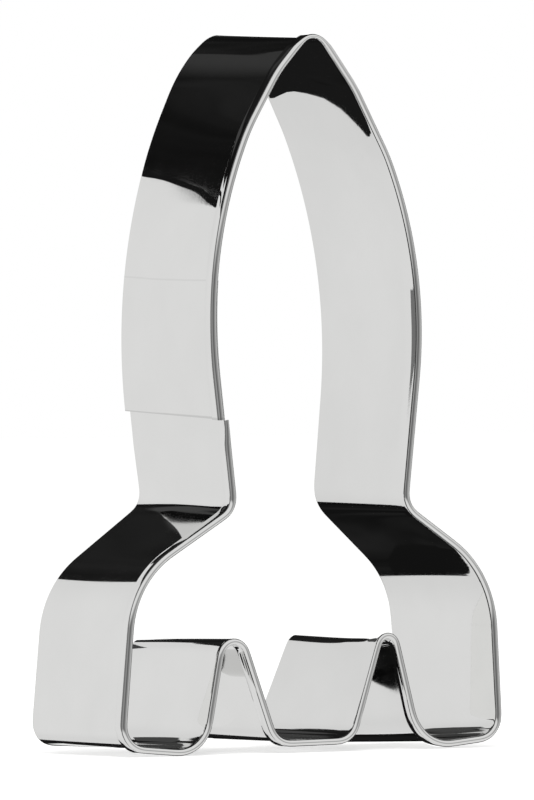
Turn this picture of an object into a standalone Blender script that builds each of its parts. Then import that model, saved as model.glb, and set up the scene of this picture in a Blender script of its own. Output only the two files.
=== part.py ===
"""A rocket-shaped cookie cutter: one strip of bright sheet steel, hemmed along its rim, bent to
the outline and closed by a spot-welded lap on its left wall.

The cutter stands on its feet, nose up: X runs across it, Z up, and Y from the hemmed rim (-Y)
to the cutting edge (+Y). Sizes are in millimetres and become metres where a point is placed.
The outline is the strip's inner face, the line that cuts the dough.
"""
import math

import bmesh
import bpy
from mathutils import Vector

MM = 0.001
MERGE = 0.00001

# The strip
HEIGHT = 100.0          # from the feet to the top of the nose, over the hem
DEPTH = 25.0            # the strip's width, from rim to cutting edge
SHEET = 0.3             # thickness of the sheet
HEM_WIDTH = 2.0         # how far the rim is folded back
HEM_GAP = 0.3           # open space inside the fold
ARC_SAG = 0.01          # how far a facet of the outline may cut inside its arc
ARC_LEAST = 3           # facets in the shortest arc
FOLD_STEPS = 6          # facets round the hem's fold

# The lap that closes the loop
LAP_BOTTOM = 46.5       # height of the outer layer's end
LAP_LENGTH = 19.0       # how much of the strip lies double
LAP_CLEARANCE = 0.1     # between the inner layer's hem and the outer layer
WELD_DIAMETER = 3.0
WELD_CLEARANCE = 0.15   # between a nugget and each layer
WELD_SPREAD_Z = 9.0     # between the two rows of welds
WELD_SPREAD_Y = 11.0    # between the two welds of a row
WELD_SIDES = 24

# The body's bends: the width between the left and right corner, their height and their radius
NOSE_RADIUS = 5.2
NOSE_LEAN = -1.3        # the hand-bent tip stands this far to the left
NOSE_ROUNDS = 6         # steps in which the tip's height is found
SHOULDER_WIDTH = 20.8
SHOULDER_HEIGHT = 87.0
SHOULDER_RADIUS = 28.0
BELLY_WIDTH = 35.2
BELLY_HEIGHT = 68.3
BELLY_RADIUS = 64.0
NECK_WIDTH = 28.8
NECK_HEIGHT = 34.0
NECK_RADIUS = 4.5
BODY_SHIFT = 1.2        # the body stands this far to the right of the fins' middle

# The bends of the fins, of the notches between them and of the flame
FIN_WIDTH = 61.2        # over both fins, at their heels
FIN_TAPER = 2.0         # how far each outer wall leans in from heel to top
FIN_TOP_HEIGHT = 23.8
FIN_TOP_RADIUS = 13.0
HEEL_HEIGHT = 2.2
HEEL_RADIUS = 2.8
TOE_WIDTH = 36.6        # between the fins' inner corners
TOE_HEIGHT = 0.6
TOE_RADIUS = 5.0
NOTCH_SPACING = 26.0
NOTCH_HEIGHT = 21.0
NOTCH_RADIUS = 2.2
FLAME_WIDTH = 11.7
FLAME_HEIGHT = 2.0
FLAME_RADIUS = 2.7

SHARP_EDGE = math.radians(30)
STEEL_COLOUR = (0.80, 0.80, 0.79, 1.0)
STEEL_ROUGHNESS = 0.08
WELD_COLOUR = (0.45, 0.44, 0.43, 1.0)
WELD_ROUGHNESS = 0.45

HEM = 2 * SHEET + HEM_GAP
LAP_STEP = HEM + LAP_CLEARANCE
LAP_TOP = LAP_BOTTOM + LAP_LENGTH


def clear_scene():
    for item in list(bpy.data.objects):
        bpy.data.objects.remove(item, do_unlink=True)


def collection(name):
    made = bpy.data.collections.new(name)
    bpy.context.scene.collection.children.link(made)
    return made


def steel(name, colour, roughness):
    material = bpy.data.materials.new(name)
    material.use_nodes = True
    shader = material.node_tree.nodes["Principled BSDF"]
    shader.inputs["Base Color"].default_value = colour
    shader.inputs["Metallic"].default_value = 1.0
    shader.inputs["Roughness"].default_value = roughness
    return material


def body_corners():
    """The right side of the body as (distance from the middle, height, radius), going up."""
    return [(NECK_WIDTH / 2, NECK_HEIGHT, NECK_RADIUS),
            (BELLY_WIDTH / 2, BELLY_HEIGHT, BELLY_RADIUS),
            (SHOULDER_WIDTH / 2, SHOULDER_HEIGHT, SHOULDER_RADIUS)]


def fin_corners():
    """The right half of the bottom, from the flame round the notch and the fin to its top."""
    return [(FLAME_WIDTH / 2, FLAME_HEIGHT, FLAME_RADIUS),
            (NOTCH_SPACING / 2, NOTCH_HEIGHT, NOTCH_RADIUS),
            (TOE_WIDTH / 2, TOE_HEIGHT, TOE_RADIUS),
            (FIN_WIDTH / 2, HEEL_HEIGHT, HEEL_RADIUS),
            (FIN_WIDTH / 2 - FIN_TAPER, FIN_TOP_HEIGHT, FIN_TOP_RADIUS)]


def mirrored(corners):
    return [(-x, z, radius) for x, z, radius in reversed(corners)]


def moved(corners, shift):
    return [(x + shift, z, radius) for x, z, radius in corners]


def nose_corner(ground):
    """The corner whose rounded tip brings the rim's top to HEIGHT over the ground."""
    left, right = ((BODY_SHIFT + side * SHOULDER_WIDTH / 2, SHOULDER_HEIGHT) for side in (-1, 1))
    top = ground + HEIGHT - HEM
    height = top
    for _ in range(NOSE_ROUNDS):
        tip = rounded([left, (NOSE_LEAN, height, NOSE_RADIUS), right])
        height += top - max(point.y for point in tip)
    return (NOSE_LEAN, height, NOSE_RADIUS)


def corner_turns(corners):
    """For each inner corner: its arriving and leaving directions and the angle turned there."""
    spots = [Vector(corner[:2]) for corner in corners]
    turns = []
    for before, here, after in zip(spots, spots[1:], spots[2:]):
        arriving = (here - before).normalized()
        leaving = (after - here).normalized()
        turns.append((arriving, leaving, math.atan2(arriving.cross(leaving), arriving.dot(leaving))))
    return turns


def arc_reaches(corners, turns):
    """How far each corner's arc reaches along its sides, less where two arcs would meet."""
    wanted = [corner[2] * math.tan(abs(turn[2]) / 2) for corner, turn in zip(corners[1:], turns)]
    wanted = [0.0] + wanted + [0.0]
    sides = [(Vector(b[:2]) - Vector(a[:2])).length for a, b in zip(corners, corners[1:])]
    room = [side / max(a + b, side) for side, a, b in zip(sides, wanted, wanted[1:])]
    return [reach * min(before, after) for reach, before, after in zip(wanted[1:], room, room[1:])]


def rounded(corners):
    """Points of an open path through the corners, each but the ends replaced by a tangent arc."""
    turns = corner_turns(corners)
    points = [Vector(corners[0][:2])]
    for corner, turn, reach in zip(corners[1:], turns, arc_reaches(corners, turns)):
        arriving, leaving, angle = turn
        radius = reach / math.tan(abs(angle) / 2)
        start = Vector(corner[:2]) - arriving * reach
        inward = Vector((-arriving.y, arriving.x)) * math.copysign(1, angle)
        facet = 2 * math.acos(1 - ARC_SAG / radius)
        steps = max(ARC_LEAST, math.ceil(abs(angle) / facet))
        for step in range(steps + 1):
            turned = abs(angle) * step / steps
            ahead = arriving * math.sin(turned)
            aside = inward * (1 - math.cos(turned))
            points.append(start + radius * (ahead + aside))
    return points + [Vector(corners[-1][:2])]


def crossing(points, height):
    """Where a path that climbs first passes height: the place and the number of points before it."""
    above = next(i for i, point in enumerate(points) if point.y > height)
    low, high = points[above - 1], points[above]
    return low.lerp(high, (height - low.y) / (high.y - low.y)), above


def strip_path():
    """The strip's inner face from the lap's outer end, over the nose and round to its inner end."""
    outer_wall = list(reversed(mirrored(moved(body_corners(), -BODY_SHIFT))))
    inner_wall = moved(outer_wall, LAP_STEP)
    right_side = list(reversed(fin_corners() + moved(body_corners(), BODY_SHIFT)))
    left_fin = list(reversed(mirrored(fin_corners())))
    ground = min(point.y for point in rounded(right_side)) - HEM
    around = rounded(outer_wall + [nose_corner(ground)] + right_side + left_fin + inner_wall)
    start, above = crossing(around, LAP_BOTTOM)
    wall_start = max(i for i, point in enumerate(around) if point.y < NECK_HEIGHT)
    end, below = crossing(around[wall_start:], LAP_TOP)
    path = [start] + around[above:wall_start + below] + [end]
    return [Vector((point.x, point.y - ground)) for point in path]


def poly_curve(name, points):
    curve = bpy.data.curves.new(name, "CURVE")
    curve.dimensions = "2D"
    curve.fill_mode = "NONE"
    spline = curve.splines.new("POLY")
    spline.points.add(len(points) - 1)
    for place, point in zip(spline.points, points):
        place.co = (point[0] * MM, point[1] * MM, 0.0, 1.0)
    return bpy.data.objects.new(name, curve)


def hem_profile():
    """The sheet's middle line across the strip, outward from the inner face and towards the rim."""
    fold = (SHEET + HEM_GAP) / 2
    centre = SHEET / 2 + fold
    rim = DEPTH / 2 - HEM / 2
    points = [(-SHEET / 2, -DEPTH / 2)]
    for step in range(FOLD_STEPS + 1):
        angle = math.pi * step / FOLD_STEPS
        points.append((fold * math.cos(angle) - centre, rim + fold * math.sin(angle)))
    points.append((-centre - fold, DEPTH / 2 - HEM_WIDTH))
    return points


def mesh_of(curve_object):
    """The curve's swept surface as a mesh in world space, its doubled points joined."""
    evaluated = curve_object.evaluated_get(bpy.context.evaluated_depsgraph_get())
    mesh = bpy.data.meshes.new_from_object(evaluated)
    mesh.transform(curve_object.matrix_world)
    welded = bmesh.new()
    welded.from_mesh(mesh)
    bmesh.ops.remove_doubles(welded, verts=welded.verts, dist=MERGE)
    welded.to_mesh(mesh)
    welded.free()
    return mesh


def make_strip(parts, guides, path_points):
    """The path swept with the hem's profile, then given the thickness of the sheet."""
    path = poly_curve("strip_path", path_points)
    profile = poly_curve("hem_profile", hem_profile())
    for guide in (path, profile):
        guides.objects.link(guide)
        guide.hide_render = True
        guide.display_type = "WIRE"
    path.data.bevel_mode = "OBJECT"
    path.data.bevel_object = profile
    path.rotation_euler.x = math.pi / 2
    bpy.context.view_layer.update()
    mesh = mesh_of(path)
    mesh.name = "cutter_strip"
    mesh.materials.clear()
    mesh.materials.append(steel("bright_steel_strip", STEEL_COLOUR, STEEL_ROUGHNESS))
    mesh.shade_smooth()
    mesh.set_sharp_from_angle(angle=SHARP_EDGE)
    strip = bpy.data.objects.new("cutter_strip", mesh)
    parts.objects.link(strip)
    thicken = strip.modifiers.new("sheet", "SOLIDIFY")
    thicken.thickness = SHEET * MM
    thicken.offset = 0.0
    thicken.use_even_offset = True


def make_welds(parts, path_points):
    """The nuggets between the lap's two layers, in two rows on the plain sheet beside the hem."""
    finish = steel("weld_nugget", WELD_COLOUR, WELD_ROUGHNESS)
    middle = path_points[0].y + LAP_LENGTH / 2
    plain_middle = HEM_WIDTH / 2
    thickness = LAP_STEP - SHEET - 2 * WELD_CLEARANCE
    places = [(row, column) for row in (-0.5, 0.5) for column in (-0.5, 0.5)]
    for number, (row, column) in enumerate(places, 1):
        spot, above = crossing(path_points, middle + row * WELD_SPREAD_Z)
        along = (path_points[above] - path_points[above - 1]).normalized()
        inward = Vector((along.y, -along.x))
        centre = spot + inward * (LAP_STEP - SHEET) / 2
        bpy.ops.mesh.primitive_cylinder_add(
            vertices=WELD_SIDES, radius=WELD_DIAMETER / 2 * MM, depth=thickness * MM,
            location=(centre.x * MM, (plain_middle + column * WELD_SPREAD_Y) * MM, centre.y * MM),
            rotation=(0, math.atan2(inward.x, inward.y), 0))
        weld = bpy.context.object
        weld.name = weld.data.name = f"spot_weld_{number}"
        weld.data.materials.append(finish)
        weld.data.shade_smooth()
        weld.data.set_sharp_from_angle(angle=SHARP_EDGE)
        for home in list(weld.users_collection):
            home.objects.unlink(weld)
        parts.objects.link(weld)


def main():
    clear_scene()
    parts = collection("cookie_cutter")
    guides = collection("guides")
    path_points = strip_path()
    make_strip(parts, guides, path_points)
    make_welds(parts, path_points)


main()
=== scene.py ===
import cmath
import math

import bpy
import numpy as np
from mathutils import Matrix, Vector


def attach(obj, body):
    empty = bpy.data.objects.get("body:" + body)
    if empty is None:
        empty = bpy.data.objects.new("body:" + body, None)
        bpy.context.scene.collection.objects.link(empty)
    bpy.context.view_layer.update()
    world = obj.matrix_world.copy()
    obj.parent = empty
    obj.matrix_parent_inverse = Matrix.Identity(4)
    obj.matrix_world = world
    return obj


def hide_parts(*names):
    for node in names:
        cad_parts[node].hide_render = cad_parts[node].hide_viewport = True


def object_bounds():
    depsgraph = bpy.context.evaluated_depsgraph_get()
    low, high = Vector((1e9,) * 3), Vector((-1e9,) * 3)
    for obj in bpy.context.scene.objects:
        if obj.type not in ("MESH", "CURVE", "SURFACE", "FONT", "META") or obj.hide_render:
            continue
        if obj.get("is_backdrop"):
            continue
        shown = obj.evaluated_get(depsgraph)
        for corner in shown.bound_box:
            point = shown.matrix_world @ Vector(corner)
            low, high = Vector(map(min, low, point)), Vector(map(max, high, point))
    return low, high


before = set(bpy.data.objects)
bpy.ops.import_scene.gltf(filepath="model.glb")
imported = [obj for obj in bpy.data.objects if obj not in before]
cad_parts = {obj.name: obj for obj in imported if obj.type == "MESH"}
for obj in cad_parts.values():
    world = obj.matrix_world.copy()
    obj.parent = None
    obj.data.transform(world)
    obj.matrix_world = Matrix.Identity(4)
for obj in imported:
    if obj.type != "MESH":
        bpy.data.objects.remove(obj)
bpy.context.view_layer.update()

# Cutter strip
# One band of bright stainless sheet, its rim folded back as a hem so that it doesn't cut the hand.
# It is bent by hand round pins, which leaves the rim's outline a little unlike the cutting edge's.
MM = 0.001              # sizes are in mm here, and in metres in the meshes
DEPTH = 25.0            # the band's width, from the rim (-Y) to the cutting edge (+Y)
SHEET = 0.3             # the steel's thickness
HEM_WIDTH = 2.0
HEM_GAP = 0.35
HEM = 2 * SHEET + HEM_GAP
NOSE_FLATTENING = 0.32  # how much flatter the hem lies over the nose
NOSE_FLAT_FROM = (96.5, 98.5)   # the heights between which that comes in
LAP_FLATTENING = 0.3    # how much flatter it lies where the welding squeezed the inner layer
LAP_FLAT_FROM = (42.0, 45.0)
DISH = 0.12             # how far the pressed hem pushes the right wall's sheet beside it inward
DISH_ELSEWHERE = 0.006
DISH_FROM = (38.0, 46.0)    # the heights between which the right wall's dishing comes in
DISH_TO = (60.0, 72.0)      # and between which it goes again
DISH_START = -10.9      # the y of the crease where it begins
DISH_RUN = 7.0          # how far it fades out behind the crease
FLAP_ROWS = [-11.3, -11.7]  # the y of the mesh rows between the crease and the fold
EDGE_ROUND = 0.05       # worn roundness of the sheared edges
EDGE_FACETS = 3
FOLD_FACETS = 18
FLAT_ROWS = 14
SHARP_ANGLE = 40        # in degrees: edges that turn more than this show as edges
BEND_STEPS = 40         # places along each bend at which the band's section stands
STRAIGHT_STEPS = 16     # and along each straight
BEND_ROOM = 1.02        # two bends that would meet are shortened to leave this much between them
SPRING = 0.5            # how far, in mm, a bend runs out into its straights
BELL_STEPS = 5          # points for each length of SPRING in the curve that runs it out
BELL_REACH = 4          # and how many such lengths the curve reaches to each side
LAP_BOTTOM = (46.0, 47.25)  # heights of the outer layer's slanted end, at the rim and at the edge
LAP_TOP = (65.1, 65.85)     # the same for the inner layer's end
LAP_STEP = 0.68         # how far the outer layer stands off the inner one
HEM_CUT = 0.9           # how far above the outer layer's end the inner layer loses its hem
TONGUE_FRONT = -11.3    # the y of the inner layer's front edge from there on

# Each bend: its x, z and radius on the inner face at the rim, the same at the cutting edge, and its
# haste: above 1, the rim's shape passes into the edge's sooner than evenly
OUTER_LAYER = [((-12.45, 30.4, 0.0), (-12.45, 31.15, 0.0), 1.0),         # a point below the layer's end
               ((-16.8, 68.65, 67.25), (-16.85, 61.35, 96.35), 1.0),     # belly
               ((-9.45, 85.85, 29.7), (-10.85, 83.45, 77.5), 1.0),       # shoulder
               ((-4.65, 93.6, 16.0), (-5.4, 95.0, 22.65), 1.0)]          # cheek
NOSE = [((0.85, 99.55, 2.0), (1.7, 101.55, 4.35), 1.0)]
RIGHT_BODY = [((7.05, 91.4, 18.5), (7.1, 94.4, 15.0), 1.0),
              ((12.25, 82.0, 26.0), (11.35, 85.9, 27.9), 1.0),
              ((18.6, 66.5, 68.25), (18.95, 67.15, 75.3), 1.0),
              ((14.7, 33.5, 3.85), (15.75, 34.15, 5.15), 1.0)]           # neck
RIGHT_FIN = [((29.05, 24.0, 14.4), (28.15, 23.1, 12.6), 1.0),            # top of the fin
             ((30.1, 1.95, 2.8), (30.2, 0.45, 2.8), 1.0),                # heel
             ((17.8, 0.7, 5.55), (18.4, 0.5, 5.0), 1.0)]                 # toe
FLAME = [((12.3, 21.65, 2.05), (13.75, 20.1, 2.1), 5.0),                 # right notch
         ((5.9, 1.95, 2.7), (5.55, 2.0, 2.7), 1.0),
         ((-5.9, 1.8, 2.65), (-5.85, 1.8, 2.7), 1.0),
         ((-13.75, 23.15, 2.65), (-13.0, 20.6, 2.2), 1.0)]               # left notch
LEFT_FIN = [((-18.2, 0.65, 4.5), (-18.3, 0.55, 5.0), 1.0),
            ((-30.55, 1.7, 2.8), (-30.5, 1.6, 2.9), 1.0),
            ((-28.5, 23.95, 12.75), (-28.35, 23.0, 13.8), 2.5)]
INNER_LAYER = [((-12.15, 33.45, 3.4), (-12.25, 34.25, 3.4), 2.5),        # neck
               ((-16.8 + LAP_STEP, 68.65, 67.25), (-16.85 + LAP_STEP, 61.35, 96.35), 1.0),
               ((-9.45, 85.85, 0.0), (-10.85, 83.45, 0.0), 1.0)]         # a point above the layer's end


def bent_line(corners):
    """An open line through (place, radius) corners, each one rounded, as steadily numbered points."""
    places = [place for place, radius in corners]
    sides = [b - a for a, b in zip(places, places[1:])]
    turns = [cmath.phase(b / a) for a, b in zip(sides, sides[1:])]
    wanted = [radius * math.tan(abs(turn) / 2) for (place, radius), turn in zip(corners[1:], turns)]
    wanted = [0.0] + wanted + [0.0]
    room = [abs(side) / max(BEND_ROOM * (a + b), abs(side))
            for side, a, b in zip(sides, wanted, wanted[1:])]
    line = [places[0]]
    bends = zip(places[1:], sides, turns, wanted[1:], room, room[1:])
    for place, side, turn, reach, before, after in bends:
        reach *= min(before, after)
        heading = side / abs(side)
        spoke = 1j * heading * math.copysign(reach / math.tan(abs(turn) / 2), turn)
        start = place - heading * reach
        line += list(np.linspace(line[-1], start, STRAIGHT_STEPS + 1)[1:])
        for step in range(1, BEND_STEPS + 1):
            line.append(start + spoke - spoke * cmath.exp(1j * turn * step / BEND_STEPS))
    return np.array(line + list(np.linspace(line[-1], places[-1], STRAIGHT_STEPS + 1)[1:]))


def cut_line(line, bottom, top):
    """The line from where it first climbs past bottom to where it last climbs past top."""
    def climbs(height):
        return np.nonzero((line.imag[:-1] <= height) & (line.imag[1:] > height))[0]

    def place(i, height):
        return i + (height - line.imag[i]) / (line.imag[i + 1] - line.imag[i])

    numbers = np.arange(len(line))
    first, last = place(climbs(bottom)[0], bottom), place(climbs(top)[-1], top)
    kept = STRAIGHT_STEPS + BEND_STEPS
    tail = len(line) - kept
    spots = np.interp(numbers, [0, kept, tail, len(line) - 1], [first, kept, tail, last])
    return np.interp(spots, numbers, line.real) + 1j * np.interp(spots, numbers, line.imag)


def sprung(line):
    """The line with its bends run out into its straights, point for point, and its running length."""
    gone = np.insert(np.cumsum(np.abs(np.diff(line))), 0, 0)
    reach = BELL_REACH * SPRING
    even = np.arange(-reach, gone[-1] + reach, SPRING / BELL_STEPS)
    both = [np.interp(even, gone, part) for part in (line.real, line.imag)]
    first, last = (line[1] - line[0]) / gone[1], (line[-1] - line[-2]) / (gone[-1] - gone[-2])
    steady = both[0] + 1j * both[1] + np.minimum(even, 0) * first + np.maximum(even - gone[-1], 0) * last
    half = BELL_REACH * BELL_STEPS
    bell = np.exp(-0.5 * (np.arange(-half, half + 1) / BELL_STEPS) ** 2)
    soft = np.convolve(np.pad(steady, half, mode="edge"), bell / bell.sum(), mode="valid")
    return np.interp(gone, even, soft.real) + 1j * np.interp(gone, even, soft.imag), gone


def ease(value, start, end):
    """A smooth climb from 0 to 1 as the value goes from start to end."""
    share = np.clip((value - start) / (end - start), 0, 1)
    return share * share * (3 - 2 * share)


def dished(y):
    """How far the dishing has come at depth y, as a share of its most."""
    rim = HEM / 2 - DEPTH / 2
    if y < DISH_START:
        return max(y - rim, 0.0) / (DISH_START - rim)
    return max(1 - (y - DISH_START) / DISH_RUN, 0.0) ** 2


def outline_at(y):
    """The band's inner face at depth y: its stations, and the outward direction at each."""
    def blend(rim, edge, haste=1.0):
        return rim + (edge - rim) * (1 - (0.5 - y / DEPTH) ** haste)

    bends = OUTER_LAYER + NOSE + RIGHT_BODY + RIGHT_FIN + FLAME + LEFT_FIN + INNER_LAYER
    corners = [(complex(blend(a[0], b[0], haste), blend(a[1], b[1], haste)), blend(a[2], b[2], haste))
               for a, b, haste in bends]
    points, gone = sprung(cut_line(bent_line(corners), blend(*LAP_BOTTOM), blend(*LAP_TOP)))
    heading = np.gradient(points, gone)
    out = 1j * heading / np.abs(heading)
    right_wall = (points.real > 0) * ease(points.imag, *DISH_FROM) * (1 - ease(points.imag, *DISH_TO))
    points -= out * dished(y) * (DISH_ELSEWHERE + (DISH - DISH_ELSEWHERE) * right_wall)
    inner_layer = (gone > gone[-1] / 2) & (points.real < 0)
    flatter = NOSE_FLATTENING * ease(points.imag, *NOSE_FLAT_FROM)
    squeezed = LAP_FLATTENING * inner_layer * ease(points.imag, *LAP_FLAT_FROM)
    return points, out * (1 - flatter - squeezed)


def arc(centre, radius, start, end, facets):
    """Section points round a centre, as (outward, y) pairs; angle 0 points outward and 90 to the edge."""
    angles = np.radians(np.linspace(start, end, facets + 1))
    return [(centre[0] + radius * math.cos(a), centre[1] + radius * math.sin(a)) for a in angles]


def hemmed_section():
    """The closed section of the hemmed sheet, counted outward from its inner face and along y."""
    edge = DEPTH / 2 - EDGE_ROUND
    flap = HEM_WIDTH - DEPTH / 2 - EDGE_ROUND
    fold = (HEM / 2, HEM / 2 - DEPTH / 2)
    rows = [edge - EDGE_ROUND] + list(np.linspace(edge, DISH_START, FLAT_ROWS + 1)[1:]) + FLAP_ROWS
    points = arc((SHEET - EDGE_ROUND, edge), EDGE_ROUND, 0, 90, EDGE_FACETS)
    points += arc((EDGE_ROUND, edge), EDGE_ROUND, 90, 180, EDGE_FACETS)
    points += [(0.0, y) for y in rows]
    points += arc(fold, HEM / 2, 180, 360, FOLD_FACETS)
    points += arc((HEM - EDGE_ROUND, flap), EDGE_ROUND, 0, 90, EDGE_FACETS)
    points += arc((HEM - SHEET + EDGE_ROUND, flap), EDGE_ROUND, 90, 180, EDGE_FACETS)
    points += arc(fold, HEM_GAP / 2, 0, -180, FOLD_FACETS)
    points += [(SHEET, y) for y in reversed(rows)]
    return points


def tongue_section():
    """The closed section of the plain sheet that laps behind, its front cut back from the hem."""
    front, edge = TONGUE_FRONT + EDGE_ROUND, DEPTH / 2 - EDGE_ROUND
    flat = list(np.linspace(edge, front, FLAT_ROWS + 2)[1:-1])
    rows = [edge - EDGE_ROUND] + flat + [front + EDGE_ROUND]
    points = arc((SHEET - EDGE_ROUND, edge), EDGE_ROUND, 0, 90, EDGE_FACETS)
    points += arc((EDGE_ROUND, edge), EDGE_ROUND, 90, 180, EDGE_FACETS)
    points += [(0.0, y) for y in rows]
    points += arc((EDGE_ROUND, front), EDGE_ROUND, 180, 270, EDGE_FACETS)
    points += arc((SHEET - EDGE_ROUND, front), EDGE_ROUND, 270, 360, EDGE_FACETS)
    points += [(SHEET, y) for y in reversed(rows)]
    return points


def swept_band(name, section, first, last):
    """The section swept from one station of the outline to another and capped, with a map of mm."""
    outlines = {y: outline_at(y) for y in {y for _, y in section}}
    columns = [(outlines[y][0] + outlines[y][1] * out)[first:last] for out, y in section]
    around, stations = len(section), len(columns[0])
    places = [(columns[k][i].real * MM, section[k][1] * MM, columns[k][i].imag * MM)
              for i in range(stations) for k in range(around)]
    faces = []
    for i in range(stations - 1):
        for k in range(around):
            a, b = i * around + k, i * around + (k + 1) % around
            faces.append((a, b, b + around, a + around))
    faces.append(tuple(reversed(range(around))))
    faces.append(tuple(range((stations - 1) * around, stations * around)))
    mesh = bpy.data.meshes.new(name)
    mesh.from_pydata(places, [], faces)
    along = np.insert(np.cumsum(np.abs(np.diff(outlines[section[0][1]][0]))), 0, 0)[first:last]
    girth = np.cumsum([math.dist(a, b) for a, b in zip(section, section[1:] + section[:1])])
    uv = mesh.uv_layers.new(name="band_mm").data
    for face in mesh.polygons:
        seam = any(v % around == around - 1 for v in face.vertices)
        for loop in face.loop_indices:
            i, k = divmod(mesh.loops[loop].vertex_index, around)
            uv[loop].uv = (along[i], girth[-1] if seam and k == 0 else girth[k - 1] if k else 0.0)
    mesh.shade_smooth()
    mesh.set_sharp_from_angle(angle=math.radians(SHARP_ANGLE))
    return bpy.data.objects.new(name, mesh)


def linear(hex_colour):
    """An sRGB hex colour as the linear RGBA that a shader takes."""
    values = [int(hex_colour[i:i + 2], 16) / 255 for i in (1, 3, 5)]
    return [v / 12.92 if v <= 0.04045 else ((v + 0.055) / 1.055) ** 2.4 for v in values] + [1.0]


def new_material(name):
    """A material with no nodes yet, and its node tree."""
    material = bpy.data.materials.new(name)
    material.use_nodes = True
    material.node_tree.nodes.clear()
    return material, material.node_tree


def add_node(tree, kind, settings=None, inputs=None):
    """A shader node with its settings, and its inputs given as values or as sockets to link."""
    node = tree.nodes.new(kind)
    for key, value in (settings or {}).items():
        setattr(node, key, value)
    for key, value in (inputs or {}).items():
        if isinstance(value, bpy.types.NodeSocket):
            tree.links.new(value, node.inputs[key])
        else:
            node.inputs[key].default_value = value
    return node


# Bright rolled stainless steel mirrors the room almost cleanly. Its rolls leave fine lines along the
# band, and fingers and dough leave it slightly hazy in patches.
ROLL_LINES_MM = 0.35    # spacing of the rolling lines, drawn coarser than real so that they show
ROLL_RUN_MM = 40.0      # how far one line runs along the band
ROLL_RELIEF_MM = 0.02
ROLL_HAZE = 0.012       # how much rougher a line is at most
HANDLING_MM = 9.0       # size of the patches left by fingers and dough
HANDLING_EDGE = (0.35, 0.75)    # the pattern's values at which a patch is clean and at its worst
HANDLING_HAZE = (0.02, 0.045)   # and its roughness there
CLEAN_STEEL, HANDLED_STEEL = "#D7D7D6", "#DEDEDD"
MARK_HEIGHT = 0.02      # the inner layer's end shows through the outer one as a step this high
MARK_WIDTH = 0.4
MARK_SHADE = 0.93       # and as a line painted this much darker beside the step: painted shade
MARK_FRONT = (-10.6, -9.8)      # the y between which it comes in, behind the hem's flap
END_WIDTH = 0.22        # the outer layer's sheared end is painted darker over this length, as painted shade
END_SHADE = 0.8
EASED = {"interpolation_type": "SMOOTHSTEP"}    # a ramp that starts and ends gently
edge_line, mark = outline_at(DEPTH / 2)[0], []
along_edge = np.insert(np.cumsum(np.abs(np.diff(edge_line))), 0, 0)
for line, height in ((outline_at(-DEPTH / 2)[0], LAP_TOP[0]), (edge_line, LAP_TOP[1])):
    climb = line.imag[:len(line) // 8]      # the outline's first eighth, which climbs the left wall
    station = np.interp(height, climb, np.arange(len(climb)))
    mark.append(np.interp(station, np.arange(len(line)), along_edge))
bright_steel, tree = new_material("bright_rolled_stainless")
place = add_node(tree, "ShaderNodeUVMap", {"uv_map": "band_mm"})
spot = add_node(tree, "ShaderNodeTexCoord")
deep = add_node(tree, "ShaderNodeSeparateXYZ", {}, {"Vector": spot.outputs["Object"]})
run = add_node(tree, "ShaderNodeSeparateXYZ", {}, {"Vector": place.outputs["UV"]})
mark_place = add_node(tree, "ShaderNodeMath", {"operation": "MULTIPLY_ADD"}, {
    0: deep.outputs["Y"], 1: (mark[1] - mark[0]) / (DEPTH * MM), 2: (mark[0] + mark[1]) / 2})
past_mark = add_node(tree, "ShaderNodeMath", {"operation": "SUBTRACT"}, {
    0: run.outputs["X"], 1: mark_place.outputs["Value"]})
behind_flap = add_node(tree, "ShaderNodeMapRange", EASED, {
    "Value": deep.outputs["Y"], "From Min": MARK_FRONT[0] * MM, "From Max": MARK_FRONT[1] * MM})
mark_step = add_node(tree, "ShaderNodeMapRange", EASED, {
    "Value": past_mark.outputs["Value"], "From Min": -MARK_WIDTH / 2, "From Max": MARK_WIDTH / 2,
    "To Min": MARK_HEIGHT, "To Max": 0.0})
pressed = add_node(tree, "ShaderNodeMath", {"operation": "MULTIPLY"}, {
    0: behind_flap.outputs["Result"], 1: mark_step.outputs["Result"]})
under_flap = add_node(tree, "ShaderNodeMath", {"operation": "SUBTRACT"}, {
    0: 1.0, 1: behind_flap.outputs["Result"]})
from_mark = add_node(tree, "ShaderNodeMath", {"operation": "ABSOLUTE"}, {0: past_mark.outputs["Value"]})
beside_mark = add_node(tree, "ShaderNodeMapRange", EASED, {
    "Value": from_mark.outputs["Value"], "From Min": 0.0, "From Max": MARK_WIDTH / 2})
off_mark = add_node(tree, "ShaderNodeMath", {"operation": "MAXIMUM"}, {
    0: under_flap.outputs["Value"], 1: beside_mark.outputs["Result"]})
# Painted shade: the colour is darkened along the mark, behind the hem's flap; the step itself is real
# relief
mark_shade = add_node(tree, "ShaderNodeMath", {"operation": "MULTIPLY_ADD"}, {
    0: off_mark.outputs["Value"], 1: 1 - MARK_SHADE, 2: MARK_SHADE})
# Painted shade: the colour is darkened along the outer layer's sheared end
end_shade = add_node(tree, "ShaderNodeMapRange", EASED, {
    "Value": run.outputs["X"], "From Min": END_WIDTH / 2, "From Max": END_WIDTH,
    "To Min": END_SHADE, "To Max": 1.0})
shade = add_node(tree, "ShaderNodeMath", {"operation": "MINIMUM"}, {
    0: mark_shade.outputs["Value"], 1: end_shade.outputs["Result"]})
stretched = add_node(tree, "ShaderNodeMapping", {}, {
    "Vector": place.outputs["UV"], "Scale": (1 / ROLL_RUN_MM, 1 / ROLL_LINES_MM, 1.0)})
lines = add_node(tree, "ShaderNodeTexNoise", {}, {
    "Vector": stretched.outputs["Vector"], "Scale": 1.0, "Detail": 3.0, "Roughness": 0.6})
patches = add_node(tree, "ShaderNodeTexNoise", {}, {
    "Vector": place.outputs["UV"], "Scale": 1 / HANDLING_MM, "Detail": 4.0, "Roughness": 0.55})
tint = add_node(tree, "ShaderNodeMix", {"data_type": "RGBA"}, {
    "Factor": patches.outputs["Fac"], "A": linear(CLEAN_STEEL), "B": linear(HANDLED_STEEL)})
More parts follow.
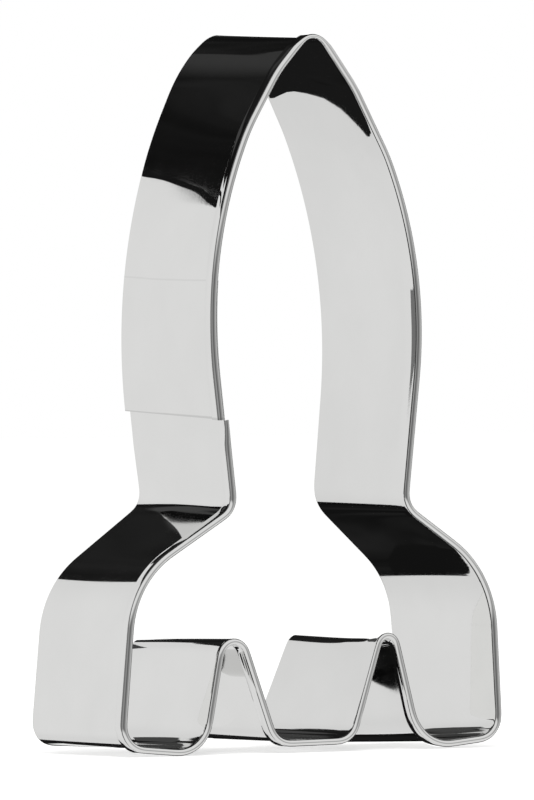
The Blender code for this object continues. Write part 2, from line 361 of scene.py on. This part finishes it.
dulled = add_node(tree, "ShaderNodeMapRange", {}, {
    "Value": patches.outputs["Fac"], "From Min": HANDLING_EDGE[0], "From Max": HANDLING_EDGE[1],
    "To Min": HANDLING_HAZE[0], "To Max": HANDLING_HAZE[1]})
lined = add_node(tree, "ShaderNodeMath", {"operation": "MULTIPLY_ADD"}, {
    0: lines.outputs["Fac"], 1: ROLL_HAZE, 2: dulled.outputs["Result"]})
relief = add_node(tree, "ShaderNodeBump", {}, {
    "Strength": 0.02, "Distance": ROLL_RELIEF_MM * MM, "Height": lines.outputs["Fac"]})
marks = add_node(tree, "ShaderNodeBump", {}, {
    "Strength": 1.0, "Distance": MM, "Height": pressed.outputs["Value"],
    "Normal": relief.outputs["Normal"]})
colour = add_node(tree, "ShaderNodeVectorMath", {"operation": "SCALE"}, {
    0: tint.outputs["Result"], "Scale": shade.outputs["Value"]})
shader = add_node(tree, "ShaderNodeBsdfPrincipled", {}, {
    "Base Color": colour.outputs["Vector"], "Metallic": 1.0, "Roughness": lined.outputs["Value"],
    "Normal": marks.outputs["Normal"]})
add_node(tree, "ShaderNodeOutputMaterial", {}, {"Surface": shader.outputs["BSDF"]})

rim_line = outline_at(-DEPTH / 2)[0]
stations = len(rim_line)
lapped = stations - 1 - np.argmax(rim_line.imag[::-1] < LAP_BOTTOM[0] + HEM_CUT)
for piece in (swept_band("cutter_band", hemmed_section(), 0, lapped + 1),
              swept_band("lap_tongue", tongue_section(), lapped, stations)):
    bpy.context.scene.collection.objects.link(piece)
    piece.data.materials.append(bright_steel)
    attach(piece, "root")
    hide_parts("cutter_strip")

# Spot welds
# Four nuggets of fused steel close the loop where its two layers lap on the left wall. They are dull
# and heat-tinted. The lower two mark the inner layer's face, and the others lie between the layers.
WELD_GRAIN_MM = 0.4     # size of the grains that the melt froze into
WELD_RELIEF_MM = 0.05
WELD_GREY, WELD_STRAW = "#8C8983", "#A69F92"
# Fused steel that cooled in air is a dull grey with a straw tint, and slightly rough
weld_steel, tree = new_material("fused_weld_steel")
place = add_node(tree, "ShaderNodeTexCoord")
grain = add_node(tree, "ShaderNodeTexNoise", {}, {
    "Vector": place.outputs["Object"], "Scale": 1 / (WELD_GRAIN_MM * MM), "Detail": 4.0})
tint = add_node(tree, "ShaderNodeMix", {"data_type": "RGBA"}, {
    "Factor": grain.outputs["Fac"], "A": linear(WELD_GREY), "B": linear(WELD_STRAW)})
relief = add_node(tree, "ShaderNodeBump", {}, {
    "Strength": 0.4, "Distance": WELD_RELIEF_MM * MM, "Height": grain.outputs["Fac"]})
shader = add_node(tree, "ShaderNodeBsdfPrincipled", {}, {
    "Base Color": tint.outputs["Result"], "Metallic": 1.0, "Roughness": 0.45,
    "Normal": relief.outputs["Normal"]})
add_node(tree, "ShaderNodeOutputMaterial", {}, {"Surface": shader.outputs["BSDF"]})
for node_name in ("spot_weld_1", "spot_weld_2", "spot_weld_3", "spot_weld_4"):
    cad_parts[node_name].data.materials.clear()
    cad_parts[node_name].data.materials.append(weld_steel)

# Studio
# A pale floor under soft light in a dim room. A white sheet hangs behind the cutter, which mirrors it
# with the dark room above it, to its right and through a gap in it. None of it is part of the object.
FLOOR_SIZE = 12.0       # in metres
FLOOR_COLOUR = "#DDDDDC"
FLOOR_LIFT = 0.55       # light of its own that only the camera sees, so that it shows near white
WHITE = (1.0, 1.0, 1.0, 1.0)


def stage_plane(name, material, corners):
    """A flat face through the corners, in metres, that dresses the studio."""
    mesh = bpy.data.meshes.new(name)
    mesh.from_pydata(corners, [], [range(len(corners))])
    mesh.materials.append(material)
    plane = bpy.data.objects.new(name, mesh)
    bpy.context.scene.collection.objects.link(plane)
    plane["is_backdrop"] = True
    return plane


# Matt floor paint spreads the light evenly and keeps the object's shadow
floor_paint, tree = new_material("pale_floor_paint")
path = add_node(tree, "ShaderNodeLightPath")
matt = add_node(tree, "ShaderNodeBsdfDiffuse", {}, {"Color": linear(FLOOR_COLOUR)})
lifted = add_node(tree, "ShaderNodeMath", {"operation": "MULTIPLY"}, {
    0: path.outputs["Is Camera Ray"], 1: FLOOR_LIFT})
lift = add_node(tree, "ShaderNodeEmission", {}, {"Color": WHITE, "Strength": lifted.outputs["Value"]})
both = add_node(tree, "ShaderNodeAddShader", {}, {0: matt.outputs["BSDF"], 1: lift.outputs["Emission"]})
add_node(tree, "ShaderNodeOutputMaterial", {}, {"Surface": both.outputs["Shader"]})
half = FLOOR_SIZE / 2
floor = stage_plane("floor", floor_paint, [
    (-half, -half, 0), (half, -half, 0), (half, half, 0), (-half, half, 0)])
floor.visible_glossy = False

# Flat cards that show only in the steel. Each is an outline of x and z, in mm, at its own y
BACKDROP_Y = 207.0      # how far behind the cutter the white sheet hangs
ROOM_WALL = [(-1500.0, -1200.0), (1500.0, -1200.0), (1500.0, 1500.0), (-1500.0, 1500.0)]
CLOTH_LEFT, CLOTH_RIGHT, CLOTH_FOOT = -178.0, 195.0, -900.0
CLOTH_TOP = [           # along the white sheet's top edge, which hangs in uneven folds
    (-178.0, 143.0), (-122.0, 141.6), (-120.7, 142.4), (-119.8, 143.6), (-118.7, 145.5),
    (-117.6, 147.5), (-116.5, 149.4), (-115.3, 150.9), (-114.2, 151.8), (-112.5, 152.2),
    (-98.0, 156.0), (-94.2, 151.0), (-90.7, 145.3), (-88.5, 142.5), (-62.0, 139.5), (-54.0, 137.0),
    (0.0, 137.0), (9.0, 130.0), (14.0, 118.0), (22.0, 108.0), (45.0, 102.0), (70.0, 96.0),
    (108.0, 97.0), (114.0, 130.0), (120.0, 200.0), (195.0, 200.0)]
OPENING = [             # round the dark gap in it
    (-40.0, 12.0), (-40.0, -25.0), (-50.0, -58.0), (-32.0, -105.0), (-31.0, -112.0), (0.0, -118.5),
    (30.0, -122.0), (45.0, -124.0), (55.0, -138.0), (60.0, -300.0), (195.0, -300.0), (195.0, -80.0),
    (135.0, -60.0), (90.0, -22.0), (84.0, 12.0)]
# Close behind the cutter, each with its y and brightness. What is near is mirrored larger and sharper
# than the sheet, in bends where the sheet would show folded over or blurred
NEAR_CARDS = [
    ("left_thing", 25.0, 0.07, [
        (-20.1, 22.0), (-20.1, 21.0), (-18.0, 14.4), (-14.8, 14.5), (-13.0, 19.0), (-12.8, 20.0),
        (-15.6, 22.0)]),
    ("right_thing", 60.0, 0.07, [
        (11.2, 34.9), (12.2, 31.7), (13.9, 31.2), (27.5, 34.9), (30.5, 37.1), (29.0, 42.0),
        (17.7, 43.0), (12.8, 40.3)]),
    ("pale_thing", 25.0, 0.95, [
        (-22.5, -3.8), (-22.5, -7.4), (-17.9, -8.2), (-13.0, -7.6), (-10.4, -6.2), (-10.4, -3.6)]),
    ("cheek_thing", 14.0, 0.012, [
        (7.8, 91.0), (8.3, 89.95), (7.9, 89.45), (7.0, 88.9), (6.1, 88.3), (5.4, 87.4), (4.6, 85.6),
        (4.1, 84.2), (3.7, 82.9), (3.55, 81.0), (3.5, 79.8), (3.65, 78.2), (3.85, 76.8), (4.25, 73.8),
        (4.0, 73.4), (-1.5, 73.4), (-1.5, 89.0), (4.0, 91.5)]),
    ("wedge_thing", 14.0, 0.01, [
        (-25.2, 82.15), (-24.4, 82.35), (-23.5, 82.5), (-22.7, 82.8), (-21.9, 83.02), (-21.1, 83.07),
        (-20.3, 82.98), (-19.2, 82.7), (-17.9, 82.4), (-17.1, 82.2), (-16.1, 81.85), (-14.9, 81.35),
        (-13.7, 80.75), (-13.0, 80.45), (-12.4, 81.2), (-14.0, 81.9), (-15.5, 82.5), (-17.0, 83.1),
        (-18.5, 83.5), (-20.3, 83.9), (-21.5, 84.2), (-23.0, 84.0), (-25.2, 83.5)]),
    ("notch_thing", 16.0, 0.004, [
        (6.45, 4.1), (6.0, 3.25), (5.65, 2.6), (5.35, 1.8), (5.2, 1.3), (5.05, 0.5), (4.2, 0.5),
        (4.2, 5.4), (8.0, 5.4), (8.6, 3.6), (7.8, 2.8), (7.2, 3.4), (6.75, 4.1), (6.55, 4.9)]),
    ("shoulder_thing", 40.0, 0.008, [
        (17.6, 3.7), (28.9, 3.6), (34.0, -1.9), (34.0, -4.2), (33.6, -6.0), (31.1, -7.2),
        (28.5, -8.2), (25.2, -9.2), (21.1, -9.7), (18.8, -9.7), (17.4, -9.4), (14.9, -8.3),
        (14.7, -6.9), (15.3, -4.0), (16.3, -0.4)])]

# An unlit plastered wall is nearly black and a little blotchy, with a few greyer shapes before it
MURK_SCALE = 22.0       # gives blotches about 45 mm across
MURK_EDGE = (0.35, 0.7)         # the pattern's values at which a blotch is darkest and palest
MURK_GLOW = (0.006, 0.018)      # and its brightness there
# Each greyer shape is a product of ramps: along which axis, from where to where in mm, and the
# brightness or share at either end
GREY_SHAPES = [
    [("X", -100.0, -30.0, 0.0, 1.0), ("X", -16.0, -13.0, 1.0, 0.0), ("Z", 200.0, 235.0, 0.0, 0.045)],
    [("X", -83.0, -70.0, 0.0, 0.07), ("Z", 156.0, 161.0, 0.0, 1.0), ("Z", 176.0, 190.0, 1.0, 0.0)],
    [("X", -182.0, -178.0, 0.22, 0.0)]]
dark_room, tree = new_material("dark_room_wall")
spot = add_node(tree, "ShaderNodeNewGeometry")
split = add_node(tree, "ShaderNodeSeparateXYZ", {}, {"Vector": spot.outputs["Position"]})
murk = add_node(tree, "ShaderNodeTexNoise", {}, {
    "Vector": spot.outputs["Position"], "Scale": MURK_SCALE, "Detail": 3.0, "Roughness": 0.55})
black = add_node(tree, "ShaderNodeMapRange", EASED, {
    "Value": murk.outputs["Fac"], "From Min": MURK_EDGE[0], "From Max": MURK_EDGE[1],
    "To Min": MURK_GLOW[0], "To Max": MURK_GLOW[1]})
glow = black.outputs["Result"]
for ramps in GREY_SHAPES:
    grey = 1.0
    for axis, start, end, low, high in ramps:
        ramp = add_node(tree, "ShaderNodeMapRange", EASED, {
            "Value": split.outputs[axis], "From Min": start * MM, "From Max": end * MM,
            "To Min": low, "To Max": high})
        product = add_node(tree, "ShaderNodeMath", {"operation": "MULTIPLY"}, {
            0: grey, 1: ramp.outputs["Result"]})
        grey = product.outputs["Value"]
    brighter = add_node(tree, "ShaderNodeMath", {"operation": "MAXIMUM"}, {0: glow, 1: grey})
    glow = brighter.outputs["Value"]
light = add_node(tree, "ShaderNodeEmission", {}, {"Color": WHITE, "Strength": glow})
add_node(tree, "ShaderNodeOutputMaterial", {}, {"Surface": light.outputs["Emission"]})

# A bleached cotton sheet is even and white. Its glow is painted brighter on the right, as painted light
# falling from that side
CLOTH_RAMPS = [(-130.0, -40.0, 0.96, 0.88), (30.0, 90.0, 0.0, 0.42)]    # x in mm, and the brightness
white_sheet, tree = new_material("white_sheet")
spot = add_node(tree, "ShaderNodeNewGeometry")
split = add_node(tree, "ShaderNodeSeparateXYZ", {}, {"Vector": spot.outputs["Position"]})
glow = 0.0
for start, end, low, high in CLOTH_RAMPS:
    ramp = add_node(tree, "ShaderNodeMapRange", EASED, {
        "Value": split.outputs["X"], "From Min": start * MM, "From Max": end * MM,
        "To Min": low, "To Max": high})
    total = add_node(tree, "ShaderNodeMath", {"operation": "ADD"}, {0: glow, 1: ramp.outputs["Result"]})
    glow = total.outputs["Value"]
light = add_node(tree, "ShaderNodeEmission", {}, {"Color": WHITE, "Strength": glow})
add_node(tree, "ShaderNodeOutputMaterial", {}, {"Surface": light.outputs["Emission"]})

# Matt card is flat and even: black or grey, and one white
cards = [("room_wall", dark_room, BACKDROP_Y + 1, ROOM_WALL),
         ("white_sheet", white_sheet, BACKDROP_Y, [
             (CLOTH_LEFT, CLOTH_FOOT), (CLOTH_RIGHT, CLOTH_FOOT)] + CLOTH_TOP[::-1]),
         ("opening", dark_room, BACKDROP_Y - 1, OPENING)]
for name, y, glow, outline in NEAR_CARDS:
    matt_card, tree = new_material(name)
    light = add_node(tree, "ShaderNodeEmission", {}, {"Color": WHITE, "Strength": glow})
    add_node(tree, "ShaderNodeOutputMaterial", {}, {"Surface": light.outputs["Emission"]})
    cards.append((name, matt_card, y, outline))
for name, material, y, outline in cards:
    card = stage_plane(name, material, [(x * MM, y * MM, z * MM) for x, z in outline])
    card.visible_camera = False
    card.visible_diffuse = False
    card.visible_shadow = False
    card.visible_transmission = False

# The room all round: full light high and low, dim at eye level, and dimmest at the side the picture
# was taken from. Where the steel doesn't mirror it, it is one even soft light
HORIZON_EDGE = (0.12, 0.38)     # the sines of the heights between which eye level passes into the rest
HORIZON_SIDES = (0.2, 0.8)      # how far to the right it is at its dimmer and at its brighter
HORIZON_GLOW = (0.35, 0.6)
DIM_WAY = (-0.534, -0.845, 0.003)       # where the dimmest side lies
DIM_EDGE = (0.9, 0.98)          # the cosines at which the dimmest side begins and is full
DIM_SHARE = 0.45                # how much of eye level's light is left there
HIGH_GLOW = 0.95                # high up and low down
FILL_GLOW = 0.65                # the even light on all that doesn't mirror
world = bpy.data.worlds.new("dim_studio")
bpy.context.scene.world = world
world.use_nodes = True
tree = world.node_tree
tree.nodes.clear()
path = add_node(tree, "ShaderNodeLightPath")
way = add_node(tree, "ShaderNodeTexCoord")
split = add_node(tree, "ShaderNodeSeparateXYZ", {}, {"Vector": way.outputs["Generated"]})
height = add_node(tree, "ShaderNodeMath", {"operation": "ABSOLUTE"}, {0: split.outputs["Z"]})
level = add_node(tree, "ShaderNodeMapRange", EASED, {
    "Value": height.outputs["Value"], "From Min": HORIZON_EDGE[0], "From Max": HORIZON_EDGE[1],
    "To Min": 1.0, "To Max": 0.0})
toward = add_node(tree, "ShaderNodeVectorMath", {"operation": "DOT_PRODUCT"}, {
    0: way.outputs["Generated"], 1: DIM_WAY})
dimmed = add_node(tree, "ShaderNodeMapRange", EASED, {
    "Value": toward.outputs["Value"], "From Min": DIM_EDGE[0], "From Max": DIM_EDGE[1],
    "To Min": 1.0, "To Max": DIM_SHARE})
sides = add_node(tree, "ShaderNodeMapRange", EASED, {
    "Value": split.outputs["X"], "From Min": HORIZON_SIDES[0], "From Max": HORIZON_SIDES[1],
    "To Min": HORIZON_GLOW[0], "To Max": HORIZON_GLOW[1]})
horizon = add_node(tree, "ShaderNodeMath", {"operation": "MULTIPLY"}, {
    0: dimmed.outputs["Result"], 1: sides.outputs["Result"]})
around = add_node(tree, "ShaderNodeMix", {}, {
    "Factor": level.outputs["Result"], "A": HIGH_GLOW, "B": horizon.outputs["Value"]})
room = add_node(tree, "ShaderNodeMix", {}, {
    "Factor": path.outputs["Is Glossy Ray"], "A": FILL_GLOW, "B": around.outputs["Result"]})
seen = add_node(tree, "ShaderNodeMix", {}, {
    "Factor": path.outputs["Is Camera Ray"], "A": room.outputs["Result"], "B": 1.0})
light = add_node(tree, "ShaderNodeBackground", {}, {"Color": WHITE, "Strength": seen.outputs["Result"]})
add_node(tree, "ShaderNodeOutputWorld", {}, {"Surface": light.outputs["Background"]})

# A soft box up at the front left casts the cutter's faint shadow. The steel doesn't show it
LAMP_PLACE = (-0.5, -0.7, 1.1)  # in metres, as its size is
LAMP_SIZE = 0.8
LAMP_WATTS = 9.0
lamp_data = bpy.data.lights.new("soft_box", "AREA")
lamp_data.shape = "SQUARE"
lamp_data.size = LAMP_SIZE
lamp_data.energy = LAMP_WATTS
lamp = bpy.data.objects.new("soft_box", lamp_data)
lamp.location = LAMP_PLACE
lamp.rotation_euler = (-lamp.location).to_track_quat("-Z", "Y").to_euler()
lamp.visible_glossy = False
bpy.context.scene.collection.objects.link(lamp)

# Camera
# It stands level with the cutter's middle and to its left, far off behind a long lens. Its distance
# and turn were fitted to the band's outline, so that the rim and the cutting edge both fall in place.
VIEW_YAW = math.radians(-32.31)
VIEW_RISE = math.radians(0.17)
VIEW_ROLL = math.radians(-0.47)
VIEW_DISTANCE = 1600.0
FOCAL_PIXELS = 11534.5
PICTURE = (534, 800)
MIDDLE = (0.0, 0.0, 50.0)       # a point in the cutter's middle
MIDDLE_PIXEL = (264.5, 389.9)   # and where in the picture it shows
back = Vector((math.sin(VIEW_YAW) * math.cos(VIEW_RISE),
               -math.cos(VIEW_YAW) * math.cos(VIEW_RISE),
               math.sin(VIEW_RISE)))
right = Vector((0, 0, 1)).cross(back).normalized()
up = back.cross(right)
right, up = (right * math.cos(VIEW_ROLL) + up * math.sin(VIEW_ROLL),
             up * math.cos(VIEW_ROLL) - right * math.sin(VIEW_ROLL))
across = (PICTURE[0] / 2 - MIDDLE_PIXEL[0]) / FOCAL_PIXELS * VIEW_DISTANCE
above = (MIDDLE_PIXEL[1] - PICTURE[1] / 2) / FOCAL_PIXELS * VIEW_DISTANCE
stand = (Vector(MIDDLE) + right * across + up * above + back * VIEW_DISTANCE) * MM
camera_data = bpy.data.cameras.new("camera")
camera_data.sensor_width = 36.0
camera_data.lens = FOCAL_PIXELS / PICTURE[1] * camera_data.sensor_width
camera_data.clip_end = 50.0
camera = bpy.data.objects.new("camera", camera_data)
camera.matrix_world = Matrix.Translation(stand) @ Matrix((right, up, back)).transposed().to_4x4()
bpy.context.scene.collection.objects.link(camera)
bpy.context.scene.camera = camera
bpy.context.scene.view_settings.view_transform = "Standard"

low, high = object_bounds()
